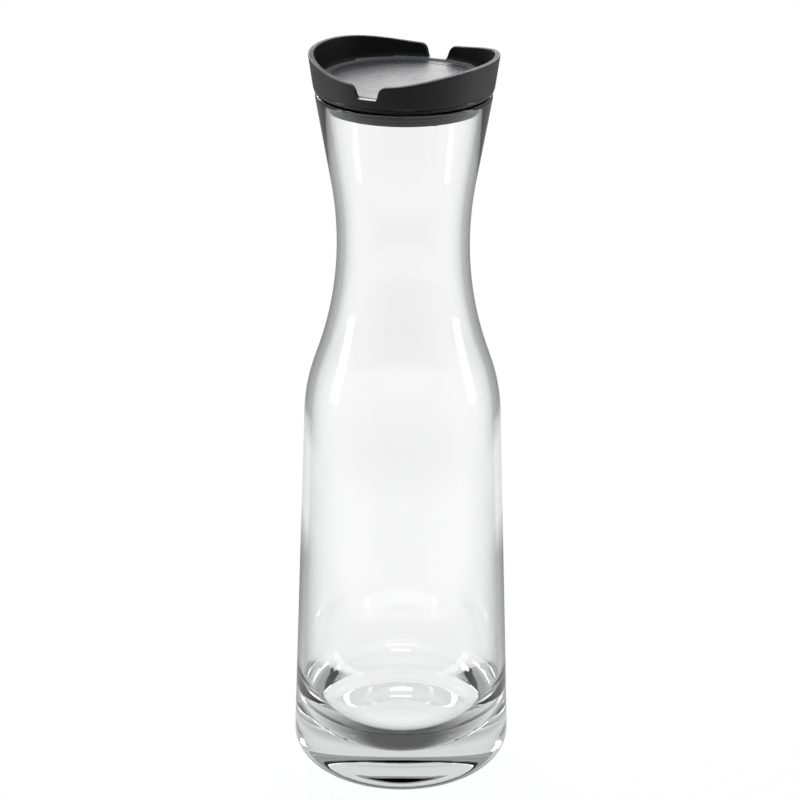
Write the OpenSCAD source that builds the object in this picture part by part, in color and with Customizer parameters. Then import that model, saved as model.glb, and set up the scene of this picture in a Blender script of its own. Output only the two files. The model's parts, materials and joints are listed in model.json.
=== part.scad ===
// Glass water carafe with a self-opening pouring lid.
// The origin is the centre of the resting ring, +Z is up, the lid pours towards -Y and +Y,
// and the flap's axle lies along X.

/* [Glass body] */
// Height of the glass, up to its lip
glass_h = 292.7; // [260:0.1:340]
// Radius of the body just above the rounded heel
base_r = 46.5; // [35:0.1:60]
// Thickness of the blown wall
wall_t = 3; // [2:0.1:4]
// Thickness of the floor above the middle of the base
floor_t = 9; // [5:0.1:14]
// Height of the rounded heel
heel_h = 7.4; // [5:0.1:10]
// Width of the rounded heel
heel_w = 6.4; // [4:0.1:12]
// Width of the flat ring that the carafe rests on, round the hollow under the base
ring_w = 7.1; // [3:0.1:12]
// Depth of the hollow under the base
punt_depth = 2; // [0.5:0.1:4]
// Radius of the wide inside curve between floor and wall
floor_round = 29; // [10:0.5:34]
// Radius at which the body and shoulder lines meet
shoulder_r = 40.2; // [36:0.1:46]
// Height of the shoulder, between the points where its line meets the body's and the mouth's
shoulder_h = 51; // [46:0.5:58]
// Radius of the bend from body to shoulder
shoulder_round = 76; // [30:1:80]
// Radius at which the shoulder and mouth lines meet
waist_r = 22.5; // [20:0.1:25]
// Height of the mouth, from the point where its line meets the shoulder's up to the lip
mouth_h = 72.7; // [66:0.1:80]
// Radius of the bend of the neck
waist_round = 144; // [60:1:148]
// Radius of the mouth, out to the glass's outside
mouth_r = 35.1; // [35:0.1:38]

/* [Lid rim] */
// Height of the rim's high sides above the underside of the plug's flange
rim_h = 14.9; // [12:0.1:24]
// Thickness of the rim's wall
rim_t = 2.2; // [1.6:0.1:3]
// How much lower the rim is at the two notches
saddle_drop = 5.2; // [2:0.1:7]
// How suddenly the rim falls towards the notches: 2 is a plain wave, more is flatter at the sides
saddle_power_share = 3; // [2:0.1:4]
// Distance that the rim stands out past the glass
rim_overhang = 0.1; // [0:0.1:1]
// How much wider the rim's outside is at its high sides than at the underside of the plug's flange
rim_flare = 2.1; // [0:0.1:4]
// Radius of the rim's lower outer edge
rim_edge = 0.4; // [0.2:0.1:0.8]
// Width of a pouring notch at its bottom
notch_w = 8.2; // [6:0.1:11]
// Width of a pouring notch between its straight sides at the top
notch_top_w = 11.2; // [9:0.1:18]
// Radius of a notch's top corners
notch_round = 3.4; // [1:0.1:4]
// Radius of a notch's bottom corners
notch_foot_round = 1.2; // [0.4:0.1:2]
// Height of the notches' bottom above the dish's floor
notch_sill = 1.1; // [0:0.1:1.5]
// Height of the dish's floor above the underside of the plug's flange
dish_h = 3.4; // [3:0.1:3.5]
// Radius of the fillet between the dish's floor and the rim
dish_round = 3.4; // [1:0.1:4]

/* [Lid plug] */
// Depth of the skirt below the flange
skirt_h = 5.4; // [4:0.1:5.6]
// Thickness of the skirt's wall at its lower edge
skirt_t = 0.75; // [0.6:0.05:1.5]
// Thickness of the flange, whose edge shows as a ring under the rim
flange_t = 1.4; // [1.2:0.1:1.6]
// How far the flange's edge stands in from the rim's outside
ring_inset = 0.15; // [0.05:0.05:0.4]
// Radius of the flange's two outer edges
flange_edge = 0.5; // [0.2:0.1:0.6]
// Depth of the axle's centre below the flange
axle_drop = 0.7; // [0.6:0.1:1]
// Outer radius of the clips that the axle snaps into
clip_r = 1.8; // [1.6:0.05:1.85]
// Length of a clip along the axle
clip_l = 2.9; // [2:0.1:4]
// Width of a clip's open throat, a little less than the axle's diameter
clip_throat = 1.7; // [1.5:0.05:1.9]
// Width of the rib that carries a clip
clip_rib_w = 2.4; // [1.6:0.1:3]
// Radius of a locating peg on the plug
peg_r = 0.9; // [0.6:0.1:1.2]
// Height of a locating peg
peg_h = 1.4; // [0.8:0.1:1.6]
// Number of locating pegs
peg_count = 4; // [4:4:8]
// Width of a stop lug along the skirt
lug_w = 3; // [2:0.1:4]
// Height of a stop lug
lug_t = 1.6; // [1:0.1:1.8]
// How far a stop lug stands in from the bore
lug_reach = 3; // [2:0.1:4]

/* [Seal] */
// Thickness of the silicone sleeve
seal_t = 0.6; // [0.5:0.05:0.8]
// Height of a sealing lip on the sleeve
lip_h = 0.25; // [0.15:0.05:0.4]
// Number of sealing lips
lip_count = 2; // [1:1:3]
// How far the sleeve reaches below the skirt
seal_drop = 0.8; // [0.2:0.1:1]
// Clearance between the seal and the glass
seal_fit = 0.2; // [0.1:0.05:0.4]
// Clearance between the seal's flange and the lip of the glass
lip_gap = 0.3; // [0.1:0.05:0.6]

/* [Flap] */
// Clearance between the flap's edge and the bore
flap_gap = 0.35; // [0.2:0.05:0.6]
// Thickness of the flap's top plate
plate_t = 1.6; // [1.2:0.1:2]
// Height of the flap's top face above the axle's centre
plate_h = 4.2; // [4:0.1:4.4]
// Radius of the top plate's upper edge
plate_edge = 0.5; // [0.2:0.1:0.8]
// Thickness of the carrier's disc
carrier_t = 1; // [0.6:0.1:1.4]
// How far the carrier's disc stands in from the flap's ball-shaped edge
carrier_inset = 0.6; // [0.3:0.1:1.5]
// Width of the carrier's beam, which holds the axle
beam_w = 5.2; // [4:0.1:6]
// Depth of the beam below the axle's centre
beam_d = 2; // [1.6:0.1:2.6]
// Radius of the axle
axle_r = 1; // [0.8:0.05:1.1]
// Clearance around the axle in its bearings
axle_fit = 0.05; // [0.02:0.01:0.1]
// Clearance between the carrier and the clips
clip_gap = 0.3; // [0.1:0.05:0.4]
// Radius of the four stakes that hold the plate to the carrier
stake_r = 1; // [0.6:0.1:1.5]
// Distance of the stakes from the middle of the flap
stake_pitch_r = 20; // [14:0.5:24]
// Angle that the flap tips to either side before it meets its stops
flap_tilt = 40; // [20:1:40]
// Clearance between the flap and its stops at the end of the tilt
stop_gap = 0.3; // [0.1:0.05:0.5]

/* [Counterweight] */
// Length of the steel bar
weight_l = 26; // [16:0.5:32]
// Radius of the steel bar
weight_r = 4.5; // [3:0.1:5]
// Distance from the axle's centre down to the bar's centre
weight_d = 7.6; // [7.4:0.1:10]
// Wall of the pocket and of the cover around the bar
pocket_t = 1.2; // [0.8:0.1:2]
// Width of the cover's snap tongues
tongue_w = 4; // [2:0.1:6]
// Height of the cover's snap tongues above the bar's centre
tongue_h = 3.6; // [2:0.1:4]
// Thickness of the cover's snap tongues
tongue_t = 0.9; // [0.6:0.1:1.4]
// Depth of the catch that holds a snap tongue
catch_t = 0.4; // [0.2:0.1:0.6]

/* [Hidden] */
$fn = 96;

// One overrun for every cut
cut = 1;
// Steps in a quarter of the heel's curve, in each bend of the glass and in the saddle curve
heel_steps = 10;
bend_steps = 16;
fillet_steps = 8;
saddle_steps = 120;

// Heights of the glass and the hollow's radius
waist_z = glass_h - mouth_h;
shoulder_z = waist_z - shoulder_h;
punt_r = base_r - heel_w - ring_w;

// Shares of the shoulder's line that its two bends may take up
shoulder_share = 0.24;
waist_share = 0.74;

// Slopes of the glass: how much the radius grows with height along the body and the mouth
body_slope = (shoulder_r - base_r) / (shoulder_z - heel_h);
mouth_slope = (mouth_r - waist_r) / (glass_h - waist_z);
lip_r = wall_t / 2;
lip_z = glass_h - lip_r * (1 + mouth_slope / norm([1, mouth_slope]));

// Levels of the lid
rim_z = glass_h + lip_gap + seal_t;
dish_z = rim_z + dish_h;
part_z = rim_z + flange_t;
axle_z = rim_z - axle_drop;
skirt_z = rim_z - skirt_h;
bore_r = norm([skirt_out(skirt_z) - skirt_t, axle_z - skirt_z]);
flap_r = bore_r - flap_gap;
rim_r = rim_out(rim_z + rim_h);
axle_half = flap_r - clip_gap;
clip_in = bore_r - clip_l - clip_gap;
flange_r = rim_out(rim_z) - ring_inset;
carrier_top = plate_h - plate_t;
carrier_low = carrier_top - carrier_t;
carrier_r = sqrt(flap_r * flap_r - carrier_top * carrier_top) - carrier_inset;
pocket_r = weight_r + pocket_t;
pocket_half = weight_l / 2 + pocket_t;
beam_half = clip_in - clip_gap;

function unit(v) = v / norm(v);

// Radius r, or the largest that fits a share of the shorter line at the corner b between a and c
function fitted(a, b, c, r, share) =
    min(r, share * min(norm(a - b), norm(c - b)) * tan(acos(unit(a - b) * unit(c - b)) / 2));

// Points of the arc of radius r that rounds the corner b between a and c
function corner_arc(a, b, c, r, steps) =
    let (
        u = unit(a - b), v = unit(c - b), half = acos(u * v) / 2,
        centre = b + unit(u + v) * r / sin(half),
        from = b + u * r / tan(half) - centre,
        to = b + v * r / tan(half) - centre,
        start = atan2(from[1], from[0]),
        turn = (atan2(to[1], to[0]) - start + 540) % 360 - 180
    )
    [for (i = [0:steps]) centre + r * [cos(start + turn * i / steps), sin(start + turn * i / steps)]];

// Points of a path moved by distance d to its left
function shifted(path, d) = [
    for (i = [0:len(path) - 1])
        let (along = unit(path[min(i + 1, len(path) - 1)] - path[max(i - 1, 0)]))
        path[i] + d * [-along[1], along[0]]
];

function reversed(path) = [for (i = [len(path) - 1:-1:0]) path[i]];

// Radius of the mouth's outside and inside at height z
function mouth_out(z) = mouth_r - mouth_slope * (glass_h - z);
function mouth_in(z) = mouth_out(z) - wall_t * norm([1, mouth_slope]);

// Radius of the lid rim's outside at height z
function rim_out(z) = mouth_out(rim_z) + rim_overhang + rim_flare * (z - rim_z) / rim_h;

// Radius of the skirt's outside, one seal and one clearance inside the glass
function skirt_out(z) = mouth_in(z) - seal_fit - lip_h - seal_t;

// Height of the rim's top edge at an angle from the notches
function saddle_z(angle) = rim_z + rim_h - saddle_drop * pow(abs(cos(angle)), saddle_power_share);

// Radius of the ball-shaped bore at height z
function bore_at(z) = sqrt(bore_r * bore_r - (z - axle_z) * (z - axle_z));

// Outside of the glass from the heel to the lip, as radius and height
side_path =
    let (
        heel = [base_r, heel_h], shoulder = [shoulder_r, shoulder_z],
        waist = [waist_r, waist_z], mouth = [mouth_r, glass_h],
        shoulder_bend = fitted(heel, shoulder, waist, shoulder_round, shoulder_share),
        waist_bend = fitted(shoulder, waist, mouth, waist_round, waist_share)
    )
    concat(
        [heel],
        corner_arc(heel, shoulder, waist, shoulder_bend, bend_steps),
        corner_arc(shoulder, waist, mouth, waist_bend, bend_steps),
        [[mouth_out(lip_z), lip_z]]
    );

// Hollow under the base, as an arc from the axis to the resting ring
function punt_path() =
    let (r = (punt_r * punt_r + punt_depth * punt_depth) / (2 * punt_depth), span = asin(punt_r / r))
    [for (i = [0:heel_steps]) [r * sin(span * i / heel_steps), punt_depth - r + r * cos(span * i / heel_steps)]];

// Rounded heel, a quarter of an ellipse
function heel_path() = [
    for (i = [0:heel_steps])
        [base_r - heel_w + heel_w * sin(90 * i / heel_steps), heel_h - heel_h * cos(90 * i / heel_steps)]
];

// Inside of the glass, from the lip down to the middle of the floor
function inside_path() =
    let (
        wall = shifted(side_path, wall_t),
        floor_z = punt_depth + floor_t,
        foot = [wall[0][0] - body_slope * (heel_h - floor_z), floor_z],
        above = [for (p = wall) if (p[1] > floor_z + floor_round + wall_t) p]
    )
    concat(reversed(above), corner_arc(above[0], foot, [0, floor_z], floor_round, heel_steps), [[0, floor_z]]);

// Fire-polished lip, half a turn from the outside over the top to the inside
function lip_path() =
    let (
        outer = side_path[len(side_path) - 1],
        inner = shifted(side_path, wall_t)[len(side_path) - 1],
        centre = (outer + inner) / 2,
        start = atan2(outer[1] - centre[1], outer[0] - centre[0])
    )
    [for (i = [1:bend_steps - 1]) centre + lip_r * [cos(start + 180 * i / bend_steps), sin(start + 180 * i / bend_steps)]];

module glass_body() {
    color("lightcyan", 0.4)
    rotate_extrude()
    polygon(concat(punt_path(), heel_path(), [for (i = [1:len(side_path) - 1]) side_path[i]],
        lip_path(), inside_path()));
}

// Section of the rim above the plug's flange, before the saddle and the notches
function rim_section() =
    let (
        top = rim_z + rim_h + cut,
        inner = [bore_at(dish_z), part_z],
        foot = [rim_out(dish_z) - rim_t, dish_z],
        inner_top = [rim_out(top) - rim_t, top]
    )
    concat(
        [inner],
        corner_arc(inner, [rim_out(part_z), part_z], [rim_out(top), top], rim_edge, fillet_steps),
        [[rim_out(top), top], inner_top],
        corner_arc(inner_top, foot, [bore_at(dish_z), dish_z], dish_round, fillet_steps),
        [[bore_at(dish_z), dish_z]]
    );

// Everything above the saddle-shaped top edge, as a ring that is cut away
module above_saddle() {
    inner = flap_r;
    outer = rim_r + cut;
    top = rim_z + rim_h + 2 * cut;
    corners = [
        for (i = [0:saddle_steps - 1])
            let (a = i * 360 / saddle_steps, side = [cos(a), sin(a)], z = saddle_z(a - 90))
            each [
                [inner * side[0], inner * side[1], z], [outer * side[0], outer * side[1], z],
                [outer * side[0], outer * side[1], top], [inner * side[0], inner * side[1], top]
            ]
    ];
    polyhedron(corners, [
        for (i = [0:saddle_steps - 1], k = [0:3])
            let (
                a = 4 * i + k, b = 4 * i + (k + 1) % 4,
                c = (4 * i + 4 + k) % (4 * saddle_steps), d = 4 * ((i + 1) % saddle_steps) + (k + 1) % 4
            )
            each [[a, b, d], [a, d, c]]
    ]);
}

// Outline of one notch, seen along Y, with rounded corners
module notch_outline() {
    sill = dish_z + notch_sill;
    reach = notch_top_w / 2 + 2 * notch_round;
    foot = [notch_w / 2, sill];
    shoulder = [notch_top_w / 2, saddle_z(asin(notch_top_w / 2 / rim_r))];
    side = concat(
        corner_arc([0, sill], foot, shoulder, notch_foot_round, fillet_steps),
        corner_arc(foot, shoulder, [reach, saddle_z(asin(reach / rim_r))], notch_round, fillet_steps)
    );
    top = [side[len(side) - 1][0], rim_z + rim_h + cut];
    half = concat(side, [top]);
    polygon(concat(half, [for (p = reversed(half)) [-p[0], p[1]]]));
}

// Places its child at each locating peg, on the plug's underside
module at_pegs() {
    for (i = [0:peg_count - 1])
    rotate([0, 0, (i + 1 / 2) * 360 / peg_count])
    translate([(bore_r + flange_r) / 2, 0, rim_z])
    children();
}

// Cylinder along the flap's axis
module along_axle(r, l) {
    translate([-l / 2, 0, axle_z])
    rotate([0, 90, 0])
    cylinder(h = l, r = r);
}

module bore() {
    translate([0, 0, axle_z])
    sphere(r = bore_r);
}

module lid_rim() {
    color("#1d1d1f")
    difference() {
        rotate_extrude() polygon(rim_section());
        above_saddle();
        translate([0, rim_r + cut, 0])
        rotate([90, 0, 0])
        linear_extrude(2 * (rim_r + cut))
        notch_outline();
        bore();
        at_pegs() cylinder(h = flange_t + peg_h + axle_fit, r = peg_r);
    }
}

// Section of the plug: the flange under the dish and the skirt inside the neck
function plug_section() =
    let (
        inner = [bore_at(skirt_z), part_z], top = [flange_r, part_z], low = [flange_r, rim_z],
        skirt_top = [skirt_out(rim_z), rim_z]
    )
    concat(
        [inner],
        corner_arc(inner, top, low, flange_edge, fillet_steps),
        corner_arc(top, low, skirt_top, flange_edge, fillet_steps),
        [skirt_top, [skirt_out(skirt_z), skirt_z], [bore_at(skirt_z), skirt_z]]
    );

// One stop lug, placed under the flap at the end of its tilt and flush with the skirt's lower edge
module stop_lug() {
    intersection() {
        translate([0, 0, axle_z])
        rotate([-flap_tilt, 0, 0])
        translate([bore_r - lug_reach, clip_r + lug_w, carrier_low - stop_gap - lug_t])
        cube([lug_reach, lug_w, lug_t]);
        translate([0, 0, skirt_z]) cylinder(h = skirt_h, r = flange_r);
    }
}

// One snap clip for the axle, open at the top, on a rib that stands in from the skirt
module axle_clip() {
    translate([0, 0, axle_z])
    difference() {
        union() {
            translate([clip_in, 0, 0]) rotate([0, 90, 0]) cylinder(h = clip_l + clip_gap, r = clip_r);
            translate([clip_in, -clip_rib_w / 2, skirt_z - axle_z])
            cube([clip_l + clip_gap, clip_rib_w, axle_z - skirt_z]);
        }
        translate([clip_in - cut, 0, 0])
        rotate([0, 90, 0])
        cylinder(h = clip_l + 2 * cut, r = axle_r + axle_fit);
        translate([clip_in - cut, -clip_throat / 2, 0]) cube([clip_l + 2 * cut, clip_throat, clip_r + cut]);
    }
}

module lid_plug() {
    color("#232326") {
        difference() {
            rotate_extrude() polygon(plug_section());
            bore();
        }
        at_pegs() cylinder(h = flange_t + peg_h, r = peg_r);
        for (x = [0, 1]) mirror([x, 0, 0]) axle_clip();
        for (x = [0, 1], y = [0, 1]) mirror([x, 0, 0]) mirror([0, y, 0]) stop_lug();
    }
}

// Outline of one sealing lip at height z, as a small ridge on the sleeve
function lip_ridge(z) = [
    [mouth_in(z + lip_h) - seal_fit - lip_h, z + lip_h],
    [mouth_in(z) - seal_fit, z + lip_h / 3],
    [mouth_in(z) - seal_fit, z - lip_h / 3],
    [mouth_in(z - lip_h) - seal_fit - lip_h, z - lip_h]
];

// Section of the sleeve: a flange under the plug's flange, the sleeve and its lips
function seal_section() =
    let (
        low = skirt_z - seal_drop,
        flange_low = rim_z - seal_t,
        flange_out = flange_r - rim_t / 2,
        pitch = (flange_low - lip_r - low) / (lip_count + 1)
    )
    concat(
        [[skirt_out(rim_z), rim_z], [skirt_out(skirt_z), skirt_z], [bore_at(skirt_z), skirt_z],
            [bore_at(skirt_z), low], [skirt_out(low) + seal_t, low]],
        [for (i = [0:lip_count - 1], p = reversed(lip_ridge(low + pitch * (i + 1)))) p],
        [[skirt_out(flange_low) + seal_t, flange_low], [flange_out, flange_low], [flange_out, rim_z]]
    );

module seal_sleeve() {
    color("#3a3b3e")
    rotate_extrude() polygon(seal_section());
}

// Section of the top plate before the ball shape trims its edge
function plate_section() =
    let (edge = [sqrt(flap_r * flap_r - plate_h * plate_h), plate_h])
    concat(
        [[0, plate_h]],
        corner_arc([0, plate_h], edge, [flap_r, 0], plate_edge, fillet_steps),
        [[flap_r, carrier_top], [0, carrier_top]]
    );

// Places its child at each stake, from the carrier's lower face up
module at_stakes() {
    for (i = [0:3])
    rotate([0, 0, 45 + 90 * i])
    translate([stake_pitch_r, 0, axle_z + carrier_low])
    children();
}

module flap_plate() {
    color("#2c2d30") {
        translate([0, 0, axle_z])
        intersection() {
            sphere(r = flap_r);
            rotate_extrude() polygon(plate_section());
        }
        at_stakes() cylinder(h = carrier_t + plate_t / 2, r = stake_r);
    }
}

module flap_carrier() {
    color("#222225")
    difference() {
        translate([0, 0, axle_z])
        union() {
            translate([0, 0, carrier_low]) cylinder(h = carrier_t, r = carrier_r);
            translate([-beam_half, -beam_w / 2, -beam_d])
            cube([2 * beam_half, beam_w, beam_d + carrier_top]);
            translate([-pocket_half, -pocket_r, -weight_d])
            cube([2 * pocket_half, 2 * pocket_r, weight_d + carrier_low]);
        }
        along_axle(axle_r, 2 * bore_r);
        clip_space();
        translate([0, 0, -weight_d]) along_axle(weight_r, weight_l);
        at_stakes() translate([0, 0, -cut]) cylinder(h = carrier_t + 2 * cut, r = stake_r);
        at_tongues() catch_groove();
    }
}

// Room around each clip under the top plate
module clip_space() {
    for (x = [0, 1])
    mirror([x, 0, 0])
    translate([beam_half, 0, axle_z])
    rotate([0, 90, 0])
    cylinder(h = bore_r, r = clip_r + clip_gap);
}

// Places its child at the outside of each end of the pocket, at the bar's height
module at_tongues() {
    for (x = [0, 1]) mirror([x, 0, 0]) translate([pocket_half, 0, axle_z - weight_d]) children();
}

// Groove in the pocket's end that a snap tongue's catch springs into
module catch_groove() {
    translate([-catch_t, -tongue_w / 2, tongue_h - 2 * catch_t]) cube([catch_t + cut, tongue_w, 2 * catch_t]);
}

// Snap tongue on the cover's end, with its catch
module snap_tongue() {
    translate([0, -tongue_w / 2, -weight_r]) cube([tongue_t, tongue_w, weight_r + tongue_h]);
    translate([-catch_t, -tongue_w / 2, tongue_h - 2 * catch_t]) cube([catch_t, tongue_w, 2 * catch_t]);
}

module flap_axle() {
    color("silver")
    along_axle(axle_r, 2 * axle_half);
}

module counterweight() {
    color("#a8abb0")
    translate([0, 0, -weight_d]) along_axle(weight_r, weight_l);
}

module weight_cover() {
    color("#222225") {
        translate([0, 0, -weight_d])
        difference() {
            intersection() {
                along_axle(pocket_r, 2 * pocket_half);
                translate([-pocket_half, -pocket_r, axle_z - pocket_r])
                cube([2 * pocket_half, 2 * pocket_r, pocket_r]);
            }
            along_axle(weight_r, weight_l);
        }
        at_tongues() snap_tongue();
    }
}

glass_body();
lid_rim();
lid_plug();
seal_sleeve();
flap_plate();
flap_carrier();
flap_axle();
counterweight();
weight_cover();
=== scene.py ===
# %% [markdown]
# # A glass carafe with a pouring lid
#
# The real object is a blown glass body with a moulded black lid on it. Nearly every piece is round, so
# most of this lesson is about one tool: a section is drawn once, as a few corners with radii, and spun
# about an axis. The lid's wavy rim needs more than that, and the hidden mouldings only need softer edges.
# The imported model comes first, because it says where every piece is.

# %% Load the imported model
import functools
import json
import math

import bmesh
import bpy
from mathutils import Matrix, Vector


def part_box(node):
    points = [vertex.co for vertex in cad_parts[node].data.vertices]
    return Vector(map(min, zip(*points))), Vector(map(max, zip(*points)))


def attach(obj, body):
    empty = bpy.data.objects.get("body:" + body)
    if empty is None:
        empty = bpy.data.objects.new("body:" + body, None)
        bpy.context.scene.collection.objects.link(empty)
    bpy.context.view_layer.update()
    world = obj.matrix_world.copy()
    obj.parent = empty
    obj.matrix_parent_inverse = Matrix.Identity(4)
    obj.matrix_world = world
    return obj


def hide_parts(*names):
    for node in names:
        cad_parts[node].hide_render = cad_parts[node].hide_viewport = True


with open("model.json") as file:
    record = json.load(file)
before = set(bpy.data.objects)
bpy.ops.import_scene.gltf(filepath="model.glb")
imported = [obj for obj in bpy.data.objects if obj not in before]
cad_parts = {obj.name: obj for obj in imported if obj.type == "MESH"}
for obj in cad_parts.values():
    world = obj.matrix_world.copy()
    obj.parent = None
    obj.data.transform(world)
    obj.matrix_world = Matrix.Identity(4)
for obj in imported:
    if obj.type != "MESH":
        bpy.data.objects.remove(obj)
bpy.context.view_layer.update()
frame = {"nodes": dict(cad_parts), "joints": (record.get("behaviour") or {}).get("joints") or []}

# %% [markdown]
# ## Sizes
#
# A maker works from a drawing with a few figures on it, in millimetres. The places of the lid and of the
# flap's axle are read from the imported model, so this script can't disagree with it. The figures that the
# model can't tell, such as the radius of an edge, have a name here.

# %% Sizes of the whole carafe
MM = 0.001


def low_of(node):
    """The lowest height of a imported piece."""
    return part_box(node)[0].z


def high_of(node):
    """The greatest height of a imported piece."""
    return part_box(node)[1].z


def radius_of(node):
    """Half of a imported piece's length along X."""
    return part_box(node)[1].x


joints = {joint["name"]: joint for joint in frame["joints"]}
axle_z = joints["flap_tilt"]["pos_m"][2]
glass_top = high_of("glass_body")
flange_z = high_of("seal_sleeve")
rim_low = low_of("lid_rim")
rim_top = high_of("lid_rim")
print("lip at", round(glass_top, 4), "flange at", round(flange_z, 4), "rim from", round(rim_low, 4))

# %% [markdown]
# ## Drawing a section
#
# A section is a list of corners, each with its radius, like a draughtsman's outline before the fillets are
# put in. One function replaces each corner by an arc. It keeps the outline short enough to read, and every
# rounding stays a number that can be changed.

# %% Corners to arcs


def rounded(corners, steps=8):
    """Points (r, z) of an outline through corners (r, z) or (r, z, radius), with an arc at each radius."""
    points = []
    for i, corner in enumerate(corners):
        here = Vector(corner[:2])
        radius = corner[2] if len(corner) > 2 else 0
        if not radius:
            points.append(here)
            continue
        back = (Vector(corners[i - 1][:2]) - here).normalized()
        ahead = (Vector(corners[(i + 1) % len(corners)][:2]) - here).normalized()
        half = back.angle(ahead) / 2
        centre = here + (back + ahead).normalized() * radius / math.sin(half)
        first = here + back * radius / math.tan(half) - centre
        turn = first.angle_signed(here + ahead * radius / math.tan(half) - centre)
        for step in range(steps + 1):
            angle = -turn * step / steps
            points.append(centre + Matrix.Rotation(angle, 2) @ first)
    return points


# %% [markdown]
# ## Spinning a section
#
# Spin is the lathe of the mesh tools: it copies the outline round the axis and fills faces between the
# copies. Points on the axis come out as many copies in one place, so they are merged, and the normals are
# worked out afresh, because a spin can leave them pointing inwards.

# %% The lathe
SAME_POINT = 0.5e-6


def spun(name, outline, steps, closed=True, place=Matrix.Identity(4)):
    """An object made by spinning an outline of (r, z) points once about Z and moving it to its place."""
    work = bmesh.new()
    verts = [work.verts.new((point[0], 0, point[1])) for point in outline]
    pairs = list(zip(verts, verts[1:]))
    if closed:
        pairs.append((verts[-1], verts[0]))
    edges = [work.edges.new(pair) for pair in pairs]
    bmesh.ops.spin(work, geom=verts + edges, cent=(0, 0, 0), axis=(0, 0, 1), angle=math.tau, steps=steps,
                   use_merge=True)
    bmesh.ops.transform(work, matrix=place, verts=work.verts)
    return finished(name, work)


def finished(name, work):
    """Merges doubles, turns the faces outwards and makes the mesh an object with smooth shading."""
    bmesh.ops.remove_doubles(work, verts=work.verts, dist=SAME_POINT)
    bmesh.ops.dissolve_degenerate(work, edges=work.edges, dist=SAME_POINT)
    bmesh.ops.recalc_face_normals(work, faces=work.faces)
    for face in work.faces:
        face.smooth = True
    mesh = bpy.data.meshes.new(name)
    work.to_mesh(mesh)
    work.free()
    piece = bpy.data.objects.new(name, mesh)
    bpy.context.scene.collection.objects.link(piece)
    print(name, len(mesh.polygons), "faces")
    return piece


# %% [markdown]
# ## Colours and nodes
#
# A material is a small graph. A few helpers keep it readable: one turns the hex value of a colour picker
# into the linear numbers that the shaders work with, one adds a node with its settings and its links, and
# one turns the size of a pattern in millimetres into its scale.

# %% Colour and node helpers


def linear(hex_colour):
    """A hex colour such as #1d1e20 as linear red, green, blue and alpha."""
    parts = [int(hex_colour[i:i + 2], 16) / 255 for i in (1, 3, 5)]
    return [c / 12.92 if c <= 0.04045 else ((c + 0.055) / 1.055) ** 2.4 for c in parts] + [1]


def add(tree, kind, inputs=None, **settings):
    """Adds a node. inputs names sockets, each with a value or with the socket that it is linked to."""
    node = tree.nodes.new(kind)
    for name, value in settings.items():
        setattr(node, name, value)
    for name, value in (inputs or {}).items():
        if isinstance(value, bpy.types.NodeSocket):
            tree.links.new(value, node.inputs[name])
        else:
            node.inputs[name].default_value = value
    return node


def material(name):
    """A new material with an empty graph, as the material and its tree."""
    made = bpy.data.materials.new(name)
    made.use_nodes = True
    made.node_tree.nodes.clear()
    return made, made.node_tree


def per_mm(size_mm):
    """The scale at which a texture's cell is this many millimetres wide, on coordinates in metres."""
    return 1 / (size_mm * MM)


# %% [markdown]
# ## Borosilicate glass
#
# Lab-type glass bends light a little less than window glass, with an index of 1.473. Here it is clear where
# you look straight through a wall and greys where you look along it, and that grey is painted shade in the
# glass's colour, which draws the carafe's outline. Layer Weight's Facing output is 0 straight on and 1 at the
# rim of a round piece, so a power of it darkens the colour towards the sides. The thick base is dimmed by
# absorption in its volume. Rays from the lamps pass straight through, because caustics would need far more
# samples than a soft shadow does.

# %% Glass
GLASS_IOR = 1.473
GLASS_DIMMING_PER_M = 3.5
EDGE_SHARPNESS = 3.0


def borosilicate_glass():
    """Clear glass with painted shade towards its sides, and dimmed by absorption through its thickness."""
    made, tree = material("borosilicate_glass")
    facing = add(tree, "ShaderNodeLayerWeight", {"Blend": 0.5}).outputs["Facing"]
    painted_edge_shade = add(tree, "ShaderNodeMath", {0: facing, 1: EDGE_SHARPNESS}, operation="POWER")
    # Painted shade: the glass's colour turns grey towards its sides.
    colour = add(tree, "ShaderNodeMix", {
        "Factor": painted_edge_shade.outputs[0], "A": linear("#ffffff"), "B": linear("#9a9fa2"),
    }, data_type="RGBA")
    glass = add(tree, "ShaderNodeBsdfPrincipled", {
        "Base Color": colour.outputs[2], "Roughness": 0.0, "IOR": GLASS_IOR, "Transmission Weight": 1.0,
    })
    clear = add(tree, "ShaderNodeBsdfTransparent", {"Color": linear("#f4f7f6")})
    path = add(tree, "ShaderNodeLightPath")
    both = add(tree, "ShaderNodeMixShader", {
        0: path.outputs["Is Shadow Ray"], 1: glass.outputs[0], 2: clear.outputs[0],
    })
    dimming = add(tree, "ShaderNodeVolumeAbsorption", {
        "Color": linear("#8e9696"), "Density": GLASS_DIMMING_PER_M,
    })
    add(tree, "ShaderNodeOutputMaterial", {"Surface": both.outputs[0], "Volume": dimming.outputs[0]})
    return made


glass_material = borosilicate_glass()
print("glass", len(glass_material.node_tree.nodes), "nodes")

# %% [markdown]
# ## The blown body
#
# The outline runs once round the glass wall: from the hollow under the base over the heel, up the outside,
# over the fire-polished lip and down the inside to the thick floor. The inside is the outside moved in by
# the wall's thickness, which is how blown glass comes out of its mould, and ends in a wide bowl. The lip is
# half a circle, so the wall stops a little more than half its thickness short of the top.

# %% The glass body
base_r = radius_of("glass_body")
wall = 3 * MM
floor_z = 11 * MM
punt_r = 33 * MM
punt_depth = 2 * MM
heel_w = 6.4 * MM
heel_h = 7.4 * MM
shoulder = (40.2 * MM, 169 * MM)
waist = (22.5 * MM, 220 * MM)
mouth_r = 35.1 * MM
shoulder_round = 76 * MM
waist_round = 144 * MM
floor_round = 29 * MM
LIP_CUT_SHARE = 0.59
PUNT_STEPS = 12
LIP_STEPS = 16


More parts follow.
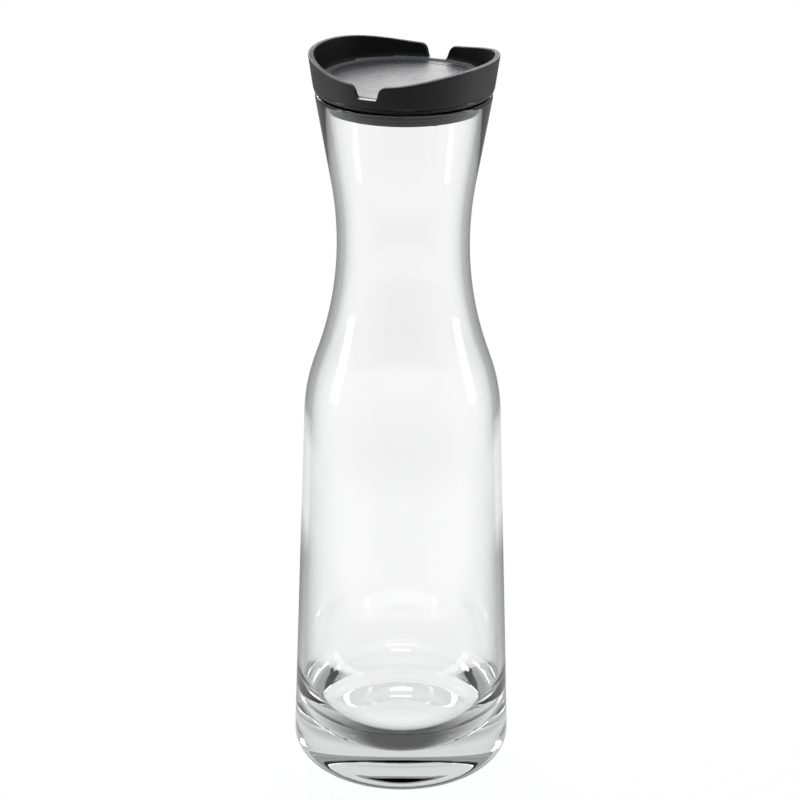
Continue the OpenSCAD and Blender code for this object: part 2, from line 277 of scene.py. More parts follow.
def moved_in(points, distance):
    """The same path, moved sideways to its left by a distance."""
    moved = []
    for i, point in enumerate(points):
        along = (points[min(i + 1, len(points) - 1)] - points[max(i - 1, 0)]).normalized()
        moved.append(point + distance * Vector((-along.y, along.x)))
    return moved


def glass_outline():
    """The outline of the glass wall, from the axis under the base round to the axis on the floor."""
    sphere = (punt_r ** 2 + punt_depth ** 2) / (2 * punt_depth)
    span = math.asin(punt_r / sphere)
    punt = []
    for i in range(PUNT_STEPS + 1):
        angle = span * i / PUNT_STEPS
        punt.append(Vector((sphere * math.sin(angle), punt_depth - sphere + sphere * math.cos(angle))))
    heel = []
    for degrees in range(0, 91, 5):
        angle = math.radians(degrees)
        heel.append(Vector((base_r - heel_w * (1 - math.sin(angle)), heel_h * (1 - math.cos(angle)))))
    side = rounded([
        (base_r, heel_h), (*shoulder, shoulder_round), (*waist, waist_round), (mouth_r, glass_top),
    ], steps=40)
    side = side[:-1] + [side[-1] + (side[-2] - side[-1]).normalized() * wall * LIP_CUT_SHARE]
    inner = moved_in(side, wall)
    centre = (side[-1] + inner[-1]) / 2
    lip = [centre + Matrix.Rotation(math.pi * i / LIP_STEPS, 2) @ (side[-1] - centre)
           for i in range(1, LIP_STEPS)]
    above = [point for point in inner if point.y > floor_z + floor_round + wall]
    foot_r = inner[0].x + (inner[0].y - floor_z) * (inner[0].x - above[0].x) / (above[0].y - inner[0].y)
    bottom = rounded([tuple(above[0]), (foot_r, floor_z, floor_round), (0, floor_z)], steps=16)
    return punt + heel + side[1:] + lip + list(reversed(above)) + bottom[1:]


carafe_glass = spun("carafe_glass", glass_outline(), steps=256, closed=False)
carafe_glass.data.materials.append(glass_material)
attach(carafe_glass, "glass")
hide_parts("glass_body")

# %% [markdown]
# ## Black moulded plastic
#
# The lid is one plastic, ABS, with an index of 1.53, and the mould makes its surfaces differ. The outside is
# spark eroded, which leaves a fine satin grain, and the flap is eroded more coarsely, so that it sparkles.
# The flap's mid-grey colour is painted sheen, for the light that its grain catches from behind.
# The rest is left as the cutter and the polisher leave a mould. Grain is bump, and also painted shade: the
# pits between the grains are coloured darker for the small shadows they hold, and on the flap much darker.
# The roughness drifts over about a centimetre. The real grain is a tenth of a millimetre wide, too fine to
# show, so it is drawn at least half a millimetre wide.

# %% Plastics
ABS_IOR = 1.53
DRIFT_MM = 9


def moulded_abs(name, colour, pit_shade, roughness, grain_mm, grain_height_mm, mottle=0.0, gloss=0.5):
    """ABS with grains of a width and a height, a painted shade colour for the pits between them, and a
    roughness that drifts.
    """
    made, tree = material(name)
    coords = add(tree, "ShaderNodeTexCoord").outputs["Object"]
    grain = add(tree, "ShaderNodeTexNoise", {
        "Vector": coords, "Scale": per_mm(grain_mm), "Detail": 1.5, "Roughness": 0.6,
    })
    sharper = add(tree, "ShaderNodeMapRange", {
        "Value": grain.outputs["Fac"], "From Min": 0.3, "From Max": 0.7,
    })
    # Painted shade: the pits between the grains are coloured darker than the plastic.
    shade = add(tree, "ShaderNodeMix", {
        "Factor": sharper.outputs["Result"], "A": linear(pit_shade), "B": linear(colour),
    }, data_type="RGBA")
    cloud = add(tree, "ShaderNodeTexNoise", {"Vector": coords, "Scale": per_mm(DRIFT_MM), "Detail": 3.0})
    rough = add(tree, "ShaderNodeMapRange", {
        "Value": cloud.outputs["Fac"], "From Min": 0.3, "From Max": 0.7,
        "To Min": roughness * (1 - mottle), "To Max": roughness * (1 + mottle),
    })
    bump = add(tree, "ShaderNodeBump", {
        "Strength": 1.0, "Distance": grain_height_mm * MM, "Height": grain.outputs["Fac"],
    })
    plastic = add(tree, "ShaderNodeBsdfPrincipled", {
        "Base Color": shade.outputs[2], "IOR": ABS_IOR, "Specular IOR Level": gloss,
        "Roughness": rough.outputs["Result"], "Normal": bump.outputs["Normal"],
    })
    add(tree, "ShaderNodeOutputMaterial", {"Surface": plastic.outputs[0]})
    return made


satin_black = moulded_abs("abs_spark_eroded_fine", "#121214", "#0e0e10",
                          roughness=0.44, grain_mm=0.5, grain_height_mm=0.006, mottle=0.1)
inner_black = moulded_abs("abs_stoned_mould", "#0a0a0b", "#070708",
                          roughness=0.5, grain_mm=0.8, grain_height_mm=0.006, mottle=0.1, gloss=0.12)
# The dish's pale grey is a painted highlight, for the crescent of light from behind.
dish_painted_highlight = moulded_abs("abs_smooth_painted_highlight", "#4a4b4e", "#3e3f42",
                         roughness=0.36, grain_mm=1.6, grain_height_mm=0.003, mottle=0.12)
polished_black = moulded_abs("abs_polished_mould", "#101113", "#0f1012",
                             roughness=0.13, grain_mm=3.0, grain_height_mm=0.002, mottle=0.15)
# The flap's mid-grey is painted sheen on black plastic, and its dark pits are painted shade.
grained_painted_sheen = moulded_abs("abs_spark_eroded_coarse_painted_sheen", "#4a4b4f", "#101011",
                            roughness=0.45, grain_mm=1.25, grain_height_mm=0.3, mottle=0.06)
print("plastics:", [made.name for made in bpy.data.materials if made.name.startswith("abs")])

# %% [markdown]
# ## The rim
#
# The rim is a ring with a wavy top edge and two notches, and every edge of it is rounded. Cutting the
# notches out of a finished ring would leave sharp edges that are hard to round again. So the ring is spun at
# its full height, with its edges already round, and each point is then lowered to the height that the top
# edge has there. The outside and the inside lean and curve, so a lowered point also moves in or out, to stay
# on its surface.

# %% The rim's section
NOTCH_GATHERING = 0.7
rim_t = 2.2 * MM
rim_flare = 2.1 * MM
overhang = 0.1 * MM
rim_h = rim_top - flange_z
dish_z = flange_z + 3.4 * MM
dish_round = 3.4 * MM
edge_round = 0.45 * MM
foot_round = 0.4 * MM
bore_edge_round = 0.3 * MM
bore_r = 29.85 * MM
saddle_drop = 5.2 * MM
saddle_power = 3
mouth_slope = (mouth_r - waist[0]) / (glass_top - waist[1])
long_stretch = 1.5 * MM


def outer_r(z):
    """Radius of the rim's outside at a height."""
    return mouth_r + mouth_slope * (flange_z - glass_top) + overhang + rim_flare * (z - flange_z) / rim_h


def inner_r(z):
    """Radius of the rim's inside at a height above the dish's floor, along the fillet and then the wall."""
    lean = rim_flare / rim_h
    reach = dish_round * (math.sqrt(1 + lean * lean) - lean)
    foot = outer_r(dish_z) - rim_t
    top_of_round = dish_round * (1 - lean / math.sqrt(1 + lean * lean))
    up = z - dish_z
    if up >= top_of_round:
        return outer_r(z) - rim_t
    return foot - reach + math.sqrt(max(dish_round ** 2 - (dish_round - up) ** 2, 0))


def bore_at(z):
    """Radius of the ball-shaped bore at a height."""
    return math.sqrt(bore_r ** 2 - (z - axle_z) ** 2)


def gathered(place):
    """A point of the ring turned a little about Z, so that the ring's steps are closer at the notches."""
    angle = math.atan2(place.y, place.x) - math.pi / 2
    return Matrix.Rotation(-NOTCH_GATHERING / 2 * math.sin(2 * angle), 3, "Z") @ place


def stretched(points, pieces):
    """The same path with each long straight stretch cut into pieces."""
    path = [points[0]]
    for start, end in zip(points, points[1:]):
        count = pieces if (end - start).length > long_stretch else 1
        path += [start.lerp(end, i / count) for i in range(1, count + 1)]
    return path


def rim_outline():
    """The rim's section at its full height, with its edges rounded."""
    corners = [
        (outer_r(rim_low), rim_low, foot_round), (outer_r(rim_top), rim_top, edge_round),
        (outer_r(rim_top) - rim_t, rim_top, edge_round), (outer_r(dish_z) - rim_t, dish_z, dish_round),
        (bore_at(dish_z), dish_z, bore_edge_round), (bore_at(rim_low), rim_low),
    ]
    return stretched(rounded(corners), pieces=12)


# %% The rim's top edge
notch_half = 4.1 * MM
notch_top_half = 5.6 * MM
notch_foot_round = 1.2 * MM
notch_top_round = 3.4 * MM
notch_reach = 12.4 * MM
sill_h = 1.1 * MM
notch_sill = dish_z + sill_h


def saddle_z(x, y):
    """Height of the wavy top edge above a place, without the notches."""
    return rim_top - saddle_drop * (abs(y) / math.hypot(x, y)) ** saddle_power


def saddle_at(x):
    """Height of the wavy top edge over the rim's outer circle, this far to the side of a notch's middle."""
    return saddle_z(x, math.sqrt(outer_r(rim_top) ** 2 - x * x))


notch_edge = rounded([
    (0, notch_sill), (notch_half, notch_sill, notch_foot_round),
    (notch_top_half, saddle_at(notch_top_half), notch_top_round), (notch_reach, saddle_at(notch_reach)),
], steps=12)
print("notch from", round(notch_sill, 4), "up to", round(saddle_at(notch_reach), 4))


def top_z(x, y):
    """Height of the rim's top edge above a place."""
    side = abs(x)
    if side >= notch_edge[-1].x:
        return saddle_z(x, y)
    for start, end in zip(notch_edge, notch_edge[1:]):
        if start.x <= side < end.x:
            share = (side - start.x) / (end.x - start.x)
            return min(start.y + share * (end.y - start.y), saddle_z(x, y))
    return notch_sill


# %% How a point of the ring is lowered
slope_step = 0.05 * MM
TINY = 1e-7
CACHE_DIGITS = 5
ROUNDING_SHARE = 1.02
STEEPEST = 3


@functools.lru_cache(maxsize=None)
def top_and_steepness(turn, r):
    """Height of the top edge at an angle and a radius, and how much longer its slope is than level ground."""
    x, y = r * math.cos(turn), r * math.sin(turn)
    slope = (top_z(x + slope_step, y) - top_z(x - slope_step, y)) / (2 * slope_step)
    return top_z(x, y), math.sqrt(1 + slope * slope)


def lowered(place):
    """Where a point of the full-height ring goes, so that the ring's top follows top_z.

    The rounded edges at the top keep their size, and are stretched only where the top is steep. What lies
    between them and the foot is squeezed evenly.
    """
    r = math.hypot(place.x, place.y)
    if place.z <= dish_z + TINY and r < outer_r(dish_z) - rim_t / 2:
        return place
    outside = r > outer_r(place.z) - rim_t / 2
    foot = rim_low + foot_round if outside else dish_z
    if place.z <= foot:
        return place
    skin = outer_r if outside else inner_r
    turn = math.atan2(place.y, place.x)
    top, steep = top_and_steepness(round(turn, CACHE_DIGITS), round(skin(rim_top), CACHE_DIGITS))
    stretch = min(steep, STEEPEST)
    rounding = edge_round * ROUNDING_SHARE
    if rim_top - place.z < rounding:
        z = top - (rim_top - place.z) * stretch
    else:
        z = foot + (place.z - foot) * (top - rounding * stretch - foot) / (rim_top - rounding - foot)
    scale = (r + skin(z) - skin(place.z)) / r
    return Vector((place.x * scale, place.y * scale, z))


# %% Spin the rim and lower its top edge
lid_ring = spun("lid_ring", rim_outline(), steps=480)
for vertex in lid_ring.data.vertices:
    vertex.co = lowered(gathered(vertex.co))
lid_ring.data.update()

# %% [markdown]
# The surfaces of the rim are materials on one mesh, and a face's place says which it gets. The outside and
# the top are eroded. The inner wall is dark and dull. Its foot and the dish are smoother, and their paler
# grey is a painted highlight: the crescent of light from behind round the flap.

# %% Finishes of the rim
FOOT_SHARE = 0.42
dish_edge_depth = 0.2 * MM
for finish in (satin_black, inner_black, dish_painted_highlight):
    lid_ring.data.materials.append(finish)
for face in lid_ring.data.polygons:
    middle = face.center
    r = math.hypot(middle.x, middle.y)
    inward = face.normal.x * middle.x + face.normal.y * middle.y < 0
    if (inward or r < outer_r(middle.z) - rim_t) and middle.z > dish_z - dish_edge_depth:
        face.material_index = 1 if middle.z > dish_z + FOOT_SHARE * dish_round else 2
for index, finish in enumerate(lid_ring.data.materials):
    print(finish.name, sum(face.material_index == index for face in lid_ring.data.polygons), "faces")
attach(lid_ring, "lid")
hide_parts("lid_rim")

# %% [markdown]
# ## The seal
#
# The seal is a thin silicone sleeve with two soft lips that wipe the mouth of the glass, and a flange that
# the lid rests on. Silicone comes out of a polished mould with a soft gloss and picks up a faint bloom, so
# its black wanders a little. It is spun like the glass, with a small radius on every edge that the glass
# shows.

# %% Silicone
SILICONE_IOR = 1.41
BLOOM_MM = 4
SKIN_MM = 0.6


def silicone_rubber():
    """Black silicone with a cloudy bloom and a very fine relief."""
    made, tree = material("silicone_rubber")
    coords = add(tree, "ShaderNodeTexCoord").outputs["Object"]
    bloom = add(tree, "ShaderNodeTexNoise", {"Vector": coords, "Scale": per_mm(BLOOM_MM), "Detail": 4.0})
    colour = add(tree, "ShaderNodeMix", {
        "Factor": bloom.outputs["Fac"], "A": linear("#0b0b0d"), "B": linear("#131416"),
    }, data_type="RGBA")
    skin = add(tree, "ShaderNodeTexNoise", {"Vector": coords, "Scale": per_mm(SKIN_MM), "Detail": 2.0})
    bump = add(tree, "ShaderNodeBump", {
        "Strength": 1.0, "Distance": 0.006 * MM, "Height": skin.outputs["Fac"],
    })
    rubber = add(tree, "ShaderNodeBsdfPrincipled", {
        "Base Color": colour.outputs[2], "Roughness": 0.3, "IOR": SILICONE_IOR,
        "Normal": bump.outputs["Normal"], "Sheen Weight": 0.1, "Sheen Roughness": 0.4,
    })
    add(tree, "ShaderNodeOutputMaterial", {"Surface": rubber.outputs[0]})
    return made


# %% The sleeve
seal_t = 0.6 * MM
seal_fit = 0.2 * MM
ridge_h = 0.25 * MM
ridge_round = 0.06 * MM
ridge_count = 2
inner_foot_round = 0.2 * MM
outer_foot_round = 0.35 * MM
flange_root_round = 0.3 * MM
flange_low_round = 0.22 * MM
flange_top_round = 0.12 * MM
skirt_z = low_of("lid_plug")
sleeve_low = low_of("seal_sleeve")
sleeve_out = radius_of("seal_sleeve")
flange_low = flange_z - seal_t


def mouth_in(z):
    """Radius of the glass's inside in the mouth, at a height."""
    return mouth_r - mouth_slope * (glass_top - z) - wall * math.sqrt(1 + mouth_slope ** 2)


def skirt_out(z):
    """Radius of the plug's skirt, one seal inside the glass."""
    return mouth_in(z) - seal_fit - ridge_h - seal_t


def sleeve_outline():
    """The sleeve's section, from the plug's flange down its inside and up past the lips."""
    corners = [
        (skirt_out(flange_z), flange_z), (skirt_out(skirt_z), skirt_z), (bore_at(skirt_z), skirt_z),
        (bore_at(skirt_z), sleeve_low, inner_foot_round),
        (skirt_out(sleeve_low) + seal_t, sleeve_low, outer_foot_round),
    ]
    pitch = (flange_low - wall / 2 - sleeve_low) / (ridge_count + 1)
    for i in range(ridge_count):
        z = sleeve_low + pitch * (i + 1)
        corners += [
            (mouth_in(z - ridge_h) - seal_fit - ridge_h, z - ridge_h, ridge_round),
            (mouth_in(z) - seal_fit, z - ridge_h / 3, ridge_round),
            (mouth_in(z) - seal_fit, z + ridge_h / 3, ridge_round),
            (mouth_in(z + ridge_h) - seal_fit - ridge_h, z + ridge_h, ridge_round),
        ]
    corners += [
        (skirt_out(flange_low) + seal_t, flange_low, flange_root_round),
        (sleeve_out, flange_low, flange_low_round), (sleeve_out, flange_z, flange_top_round),
    ]
    return rounded(corners, steps=5)


seal_ring = spun("seal_ring", sleeve_outline(), steps=256)
seal_ring.data.materials.append(silicone_rubber())
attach(seal_ring, "lid")
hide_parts("seal_sleeve")

# %% [markdown]
# ## The flap
#
# The flap is a plate with a ball-shaped edge, so it can tip inside its round bore with the same thin gap
# everywhere. The upper edge has a small radius that catches the light as a bright line. Four stakes hold it
# to the part underneath: their ends are melted to low domes, which is a bevel on a short cylinder.

# %% The flap plate
flap_gap = 0.35 * MM
flap_r = bore_r - flap_gap
plate_top = high_of("flap_plate")
plate_low = high_of("flap_carrier")
plate_edge = 0.5 * MM
plate_low_edge = 0.12 * MM
stake_low = low_of("flap_plate")
stake_r = 1 * MM
stake_pitch_r = 20 * MM
stake_bite = 0.4 * MM
stake_dome = 0.35 * MM
STAKES = 4


def ball_r(z):
    """Radius of the flap's ball-shaped edge at a height."""
    return math.sqrt(flap_r ** 2 - (z - axle_z) ** 2)


def plate_outline():
    """The plate's section, from the axis underneath round its edge to the axis on top."""
    heights = [plate_low + (plate_top - plate_edge - plate_low) * i / 8 for i in range(1, 8)]
    corners = [(0, plate_low), (ball_r(plate_low), plate_low, plate_low_edge)]
    corners += [(ball_r(z), z) for z in heights]
    corners += [(ball_r(plate_top), plate_top, plate_edge), (0, plate_top)]
    return stretched(rounded(corners), pieces=12)


flap_top = spun("flap_top", plate_outline(), steps=256, closed=False)
work = bmesh.new()
work.from_mesh(flap_top.data)
for i in range(STAKES):
    stake = bmesh.ops.create_cone(work, cap_ends=True, segments=32, radius1=stake_r, radius2=stake_r,
                                  depth=plate_low - stake_low + stake_bite)
    ring = {edge for vert in stake["verts"] for edge in vert.link_edges
            if all(end.co.z < 0 for end in edge.verts)}
    turn = Matrix.Rotation(math.radians(45 + 90 * i), 4, "Z")
    middle = Vector((stake_pitch_r, 0, (stake_low + plate_low + stake_bite) / 2))
    bmesh.ops.translate(work, vec=turn @ middle, verts=stake["verts"])
    bmesh.ops.bevel(work, geom=list(ring), offset=stake_dome, segments=4, profile=0.5, affect="EDGES",
                    material=-1)
for face in work.faces:
    face.smooth = True
work.to_mesh(flap_top.data)
work.free()
print("flap_top with stakes", len(flap_top.data.polygons), "faces")
flap_top.data.materials.append(grained_painted_sheen)
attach(flap_top, "flap")
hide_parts("flap_plate")

# %% [markdown]
# ## Steel that was turned
#
# The axle and the counterweight are cut from stainless bar on a lathe. The tool leaves fine rings round the
# bar, and a chamfer at each end so that it slips into its hole. The rings are noise that is stretched across
# the bar: fine along X and nearly constant the other way. A metal keeps the default index.

# %% Turned steel
RING_MM = 0.12
ROUND_MM = 12


def turned_steel(name, roughness):
    """Bare steel with fine rings round the bar's X axis."""
    made, tree = material(name)
    coords = add(tree, "ShaderNodeTexCoord").outputs["Object"]
    along = add(tree, "ShaderNodeMapping", {
        "Vector": coords, "Scale": (per_mm(RING_MM), per_mm(ROUND_MM), per_mm(ROUND_MM)),
    })
    rings = add(tree, "ShaderNodeTexNoise", {"Vector": along.outputs[0], "Scale": 1.0, "Detail": 2.0})
    tone = add(tree, "ShaderNodeMix", {
        "Factor": rings.outputs["Fac"], "A": linear("#b9bbbd"), "B": linear("#d3d4d5"),
    }, data_type="RGBA")
    rough = add(tree, "ShaderNodeMapRange", {
        "Value": rings.outputs["Fac"], "From Min": 0.3, "From Max": 0.7,
        "To Min": roughness * 0.8, "To Max": roughness * 1.2,
    })
    bump = add(tree, "ShaderNodeBump", {
        "Strength": 0.6, "Distance": 0.01 * MM, "Height": rings.outputs["Fac"],
    })
    steel = add(tree, "ShaderNodeBsdfPrincipled", {
        "Base Color": tone.outputs[2], "Metallic": 1.0,
        "Roughness": rough.outputs["Result"], "Normal": bump.outputs["Normal"],
    })
    add(tree, "ShaderNodeOutputMaterial", {"Surface": steel.outputs[0]})
    return made


bar_steel = turned_steel("stainless_steel_turned", roughness=0.3)
pin_steel = turned_steel("stainless_steel_ground", roughness=0.18)

# %% The axle and the counterweight
pin_chamfer = 0.2 * MM
bar_chamfer = 0.5 * MM
CHAMFER_SHARP = math.radians(30)


def turned_bar(name, node, chamfer, finish):
    """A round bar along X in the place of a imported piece, with a chamfer at both ends."""
    low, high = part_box(node)
    half, r = (high.x - low.x) / 2, (high.z - low.z) / 2
    corners = [(0, -half), (r - chamfer, -half), (r, chamfer - half), (r, half - chamfer),
               (r - chamfer, half), (0, half)]
    place = Matrix.Translation((0, 0, (low.z + high.z) / 2)) @ Matrix.Rotation(math.pi / 2, 4, "Y")
    outline = stretched([Vector(corner) for corner in corners], pieces=8)
    bar = spun(name, outline, steps=64, closed=False, place=place)
    bar.data.set_sharp_from_angle(angle=CHAMFER_SHARP)
    bar.data.materials.append(finish)
    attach(bar, "flap")
    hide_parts(node)


turned_bar("axle_pin", "flap_axle", pin_chamfer, pin_steel)
turned_bar("weight_bar", "counterweight", bar_chamfer, bar_steel)

# %% [markdown]
# ## The hidden mouldings
#
# The plug, the flap's carrier and the cover of the counterweight already have the right shapes in the packed
# model. What they lack is the tiny radius that every moulded edge has. Their meshes are loose triangles, so
# a copy is merged and its flat faces are joined, and then a Bevel modifier rounds what is still sharp.

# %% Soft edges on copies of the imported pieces
moulded_edge = 0.12 * MM
cover_edge = 0.1 * MM
LOOSE_CORNERS = 2e-6
NEARLY_FLAT = math.radians(1)
SHARP = math.radians(40)


def soft_edged(name, node, body, width, finish):
    """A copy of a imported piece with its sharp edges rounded."""
    work = bmesh.new()
    work.from_mesh(frame["nodes"][node].data)
    bmesh.ops.remove_doubles(work, verts=work.verts, dist=LOOSE_CORNERS)
    bmesh.ops.dissolve_limit(work, angle_limit=NEARLY_FLAT, verts=work.verts, edges=work.edges)
    piece = finished(name, work)
    bevel = piece.modifiers.new("moulded edges", "BEVEL")
    bevel.width = width
    bevel.segments = 2
    bevel.limit_method = "ANGLE"
    bevel.angle_limit = SHARP
    bevel.harden_normals = True
    piece.data.set_sharp_from_angle(angle=SHARP)
    piece.data.materials.clear()
    piece.data.materials.append(finish)
    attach(piece, body)
    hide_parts(node)


soft_edged("plug_ring", "lid_plug", "lid", moulded_edge, polished_black)
soft_edged("flap_frame", "flap_carrier", "flap", moulded_edge, inner_black)
soft_edged("weight_shell", "weight_cover", "flap", cover_edge, inner_black)

# %% [markdown]
# ## The studio
#
# Clear glass has no colour of its own: it shows the room. A product photographer puts it on a white sheet
# that runs up behind it, and keeps the side of the camera dark. Light Path says what kind of ray is asking.
# The camera, and rays that have only passed through glass, see white. Reflected rays see a room that is pale
# at the sides, white overhead, grey behind and dark at the front. The dark front keeps the lid black, and the
# light overhead draws a bright line along every rounded edge. Rays that were reflected and passed through
# glass see the same room with a share of even grey in it, so the thick base isn't drawn too hard.

# %% What each kind of ray sees
camera_turn = math.radians(23.3)
towards_camera = (math.sin(camera_turn), -math.cos(camera_turn), 0)
NEAR_GREY = 0.55
FAR_GREY = 0.95
DARK_FRONT = 0.03
PALE_SIDES = 0.9
DIM_BACK = 0.35
BRIGHT_TOP = 1.0
GLASS_SHARE = 0.15
FRONT_FULL = 0.9
BACK_STARTS = -0.1
BACK_FULL = -0.9
TOP_STARTS = 0.15
TOP_FULL = 0.5


def seen_through(tree, path):
    """1 for camera rays and for rays that have only passed through glass, and 0 for all others."""
    straight = add(tree, "ShaderNodeMath", {0: 1.0, 1: path.outputs["Glossy Depth"]},
                   operation="SUBTRACT", use_clamp=True)
    passed = add(tree, "ShaderNodeMath", {0: straight.outputs[0], 1: path.outputs["Is Transmission Ray"]},
                 operation="MULTIPLY")
    both = add(tree, "ShaderNodeMath", {0: passed.outputs[0], 1: path.outputs["Is Camera Ray"]},
               operation="MAXIMUM")
    return both.outputs[0]


def reflected_level(tree, path, direction, grey):
    """The brightness that reflected rays see in a direction, with a share of the grey after glass."""
    flat = add(tree, "ShaderNodeVectorMath", {0: direction, 1: (1, 1, 0)}, operation="MULTIPLY")
    unit = add(tree, "ShaderNodeVectorMath", {0: flat.outputs[0]}, operation="NORMALIZE")
    front = add(tree, "ShaderNodeVectorMath", {0: unit.outputs[0], 1: towards_camera},
                operation="DOT_PRODUCT")
    ahead = add(tree, "ShaderNodeMapRange", {
        "Value": front.outputs["Value"], "From Min": 0.0, "From Max": FRONT_FULL,
        "To Min": PALE_SIDES, "To Max": DARK_FRONT,
    })
    behind = add(tree, "ShaderNodeMapRange", {
        "Value": front.outputs["Value"], "From Min": BACK_FULL, "From Max": BACK_STARTS,
        "To Min": DIM_BACK, "To Max": PALE_SIDES,
    })
    sides = add(tree, "ShaderNodeMath", {0: ahead.outputs["Result"], 1: behind.outputs["Result"]},
                operation="MINIMUM")
    height = add(tree, "ShaderNodeSeparateXYZ", {"Vector": direction})
    above = add(tree, "ShaderNodeMapRange", {
        "Value": height.outputs["Z"], "From Min": TOP_STARTS, "From Max": TOP_FULL,
        "To Min": 0.0, "To Max": BRIGHT_TOP,
    })
    level = add(tree, "ShaderNodeMath", {0: sides.outputs[0], 1: above.outputs["Result"]},
                operation="MAXIMUM")
    went_through = add(tree, "ShaderNodeMath", {0: path.outputs["Transmission Depth"], 1: 1.0},
                       operation="MULTIPLY", use_clamp=True)
    share = add(tree, "ShaderNodeMath", {0: went_through.outputs[0], 1: GLASS_SHARE},
                operation="MULTIPLY")
    after_glass = add(tree, "ShaderNodeMix", {
        "Factor": share.outputs[0], "A": level.outputs[0], "B": grey,
    })
    return after_glass.outputs[0]


# %% [markdown]
# The floor lies a hair below the glass. Where two surfaces share one plane, a ray can't tell which comes
# first, and real glass rests on a film of air too, which is what makes its underside shine from within.

# %% Floor
FLOOR_HALF = 6
air_film = 0.3 * MM
floor_mesh = bpy.data.meshes.new("floor")
work = bmesh.new()
bmesh.ops.create_grid(work, x_segments=1, y_segments=1, size=FLOOR_HALF)
bmesh.ops.translate(work, vec=(0, 0, -air_film), verts=work.verts)
work.to_mesh(floor_mesh)
work.free()
floor = bpy.data.objects.new("floor", floor_mesh)
bpy.context.scene.collection.objects.link(floor)
print("floor", 2 * FLOOR_HALF, "m wide and", round(air_film / MM, 2), "mm below the glass")

# %% [markdown]
# What the floor shows depends on the distance from the carafe's axis, here in metres. To the camera it is a
# little less than white close by, so that a soft shadow shows. Reflected rays see the same brightness on it
# as in the room beyond, and a ring of white sheet, which the neck and the underside of the lid mirror. The
# grey that is mixed in after glass is darker close by.

# %% Floor paint
FLOOR_WHITE_SHARE = 0.86
SHADE_FROM, SHADE_TO = 0.1, 0.5
GREY_FROM, GREY_TO = 0.1, 0.4
SHEET_WHITE = 0.95
SHEET_FROM, SHEET_FULL = 0.16, 0.26
SHEET_FADES, SHEET_TO = 0.36, 0.48
made, tree = material("pale_floor")
path = add(tree, "ShaderNodeLightPath")
place = add(tree, "ShaderNodeTexCoord").outputs["Object"]
far = add(tree, "ShaderNodeVectorMath", {0: place}, operation="LENGTH")
share = add(tree, "ShaderNodeMapRange", {
    "Value": far.outputs["Value"], "From Min": SHADE_FROM, "From Max": SHADE_TO,
    "To Min": FLOOR_WHITE_SHARE, "To Max": 1.0,
})
near_grey = add(tree, "ShaderNodeMapRange", {
    "Value": far.outputs["Value"], "From Min": GREY_FROM, "From Max": GREY_TO,
    "To Min": NEAR_GREY, "To Max": FAR_GREY,
})
seen = add(tree, "ShaderNodeMath", {0: seen_through(tree, path), 1: share.outputs["Result"]},
           operation="MULTIPLY")
paint = add(tree, "ShaderNodeBsdfDiffuse", {"Color": linear("#f2f2f2")})
white = add(tree, "ShaderNodeEmission", {"Color": (1, 1, 1, 1), "Strength": 1.0})
viewed = add(tree, "ShaderNodeMixShader", {
    0: seen.outputs[0], 1: paint.outputs[0], 2: white.outputs[0],
})
sheet_end = add(tree, "ShaderNodeMapRange", {
    "Value": far.outputs["Value"], "From Min": SHEET_FADES, "From Max": SHEET_TO,
    "To Min": SHEET_WHITE, "To Max": 0.0,
})
sheet_start = add(tree, "ShaderNodeMapRange", {
    "Value": far.outputs["Value"], "From Min": SHEET_FROM, "From Max": SHEET_FULL,
    "To Min": 0.0, "To Max": SHEET_WHITE,
})
sheet = add(tree, "ShaderNodeMath", {0: sheet_start.outputs["Result"], 1: sheet_end.outputs["Result"]},
            operation="MINIMUM")
bright = add(tree, "ShaderNodeMath", {
    0: reflected_level(tree, path, place, near_grey.outputs["Result"]), 1: sheet.outputs[0],
}, operation="MAXIMUM")
mirrored = add(tree, "ShaderNodeEmission", {"Color": (1, 1, 1, 1), "Strength": bright.outputs[0]})
reflected = add(tree, "ShaderNodeMath", {0: path.outputs["Glossy Depth"], 1: 1.0}, operation="MULTIPLY",
                use_clamp=True)
mixed = add(tree, "ShaderNodeMixShader", {
    0: reflected.outputs[0], 1: viewed.outputs[0], 2: mirrored.outputs[0],
})
add(tree, "ShaderNodeOutputMaterial", {"Surface": mixed.outputs[0]})
floor.data.materials.append(made)
print("floor paint", len(tree.nodes), "nodes")

# %% [markdown]
# The world is the room itself, by the same rules. Matt surfaces get an even pale light from it, weaker than
# the white that is seen, so that the lid stays black.

# %% World
ROOM_LIGHT = 0.55
world = bpy.data.worlds.new("studio")
bpy.context.scene.world = world
world.use_nodes = True
tree = world.node_tree
tree.nodes.clear()
path = add(tree, "ShaderNodeLightPath")
direction = add(tree, "ShaderNodeTexCoord").outputs["Generated"]
white = add(tree, "ShaderNodeBackground", {"Color": (1, 1, 1, 1), "Strength": 1.0})
room = add(tree, "ShaderNodeBackground", {"Color": linear("#e8eaec"), "Strength": ROOM_LIGHT})
mirrored = add(tree, "ShaderNodeBackground", {
    "Color": (1, 1, 1, 1), "Strength": reflected_level(tree, path, direction, NEAR_GREY),
})
reflected = add(tree, "ShaderNodeMath", {0: path.outputs["Glossy Depth"], 1: 1.0}, operation="MULTIPLY",
                use_clamp=True)
rest = add(tree, "ShaderNodeMixShader", {
    0: reflected.outputs[0], 1: room.outputs[0], 2: mirrored.outputs[0],
})
mixed = add(tree, "ShaderNodeMixShader", {
    0: seen_through(tree, path), 1: rest.outputs[0], 2: white.outputs[0],
})
add(tree, "ShaderNodeOutputWorld", {"Surface": mixed.outputs[0]})
print("world", len(tree.nodes), "nodes")

# %% [markdown]
# Two tall narrow lamps stand at the sides and draw thin bright lines on the glass. Two wide ones behind light
# the grain of the flap, the foot of the rim's inner wall and the rim's top edge. They aren't seen through the
# glass, where they would burn out its base. A small one in front fills in the front of the lid.

# %% Lamps
LAMP_AIM = Vector((0, 0, 0.25))


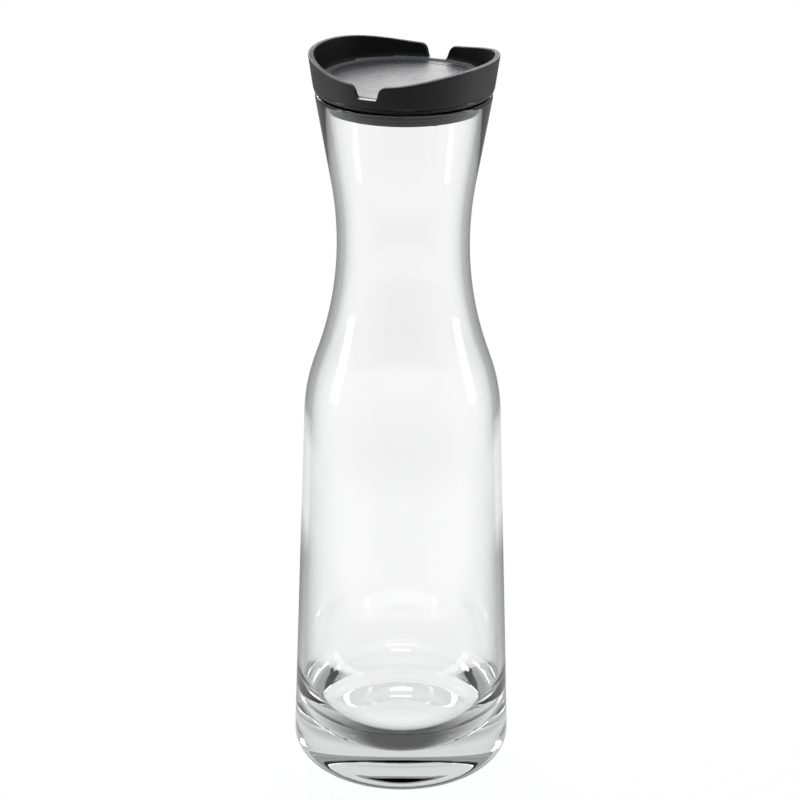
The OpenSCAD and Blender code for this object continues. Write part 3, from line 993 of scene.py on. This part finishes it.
def softbox(name, place, size, watts):
    """A rectangular studio lamp that faces the carafe."""
    light = bpy.data.lights.new(name, "AREA")
    light.shape = "RECTANGLE"
    light.size, light.size_y = size
    light.energy = watts
    lamp = bpy.data.objects.new(name, light)
    lamp.location = place
    lamp.rotation_euler = (LAMP_AIM - lamp.location).to_track_quat("-Z", "Y").to_euler()
    bpy.context.scene.collection.objects.link(lamp)
    print(name, watts, "W")
    return lamp


softbox("softbox_left", (-1.0, -0.45, 0.7), size=(0.22, 1.4), watts=3)
softbox("softbox_right", (1.05, 0.5, 0.7), size=(0.22, 1.4), watts=3)
softbox("softbox_front", (0.45, -1.05, 0.98), size=(0.6, 0.1), watts=1.7)
softbox_back = softbox("softbox_back", (-0.58, 0.99, 0.68), size=(1.4, 0.5), watts=11)
softbox_high = softbox("softbox_high", (-0.42, 0.95, 1.25), size=(0.9, 0.4), watts=7)
for lamp in (softbox_back, softbox_high):
    lamp.visible_transmission = False

# %% [markdown]
# The camera stands where the photograph's stood. Its distance, height and tilt follow from how flat the lid's
# and the base's circles look. The two shifts, in pixels, put the carafe in the same place in the picture.

# %% Camera
camera_far = 0.84296
camera_high = 0.52011
camera_tilt = math.radians(22.651)
camera_roll = math.radians(0.27)
focal_px = 2215.84
photo_px = 800
shift_right_px = -2.63
shift_up_px = -14.66
sensor_mm = 36
camera_data = bpy.data.cameras.new("camera")
camera = bpy.data.objects.new("camera", camera_data)
bpy.context.scene.collection.objects.link(camera)
bpy.context.scene.camera = camera
camera_data.sensor_width = sensor_mm
camera_data.lens = focal_px / photo_px * camera_data.sensor_width
camera_data.shift_x = shift_right_px / photo_px
camera_data.shift_y = shift_up_px / photo_px
camera.matrix_world = (
    Matrix.Translation((camera_far * math.sin(camera_turn), -camera_far * math.cos(camera_turn), camera_high))
    @ Matrix.Rotation(camera_turn, 4, "Z") @ Matrix.Rotation(math.pi / 2 - camera_tilt, 4, "X")
    @ Matrix.Rotation(camera_roll, 4, "Z")
)
bpy.context.scene.view_settings.view_transform = "Standard"
print("camera", round(camera_data.lens, 1), "mm lens,", camera_far, "m from the axis")
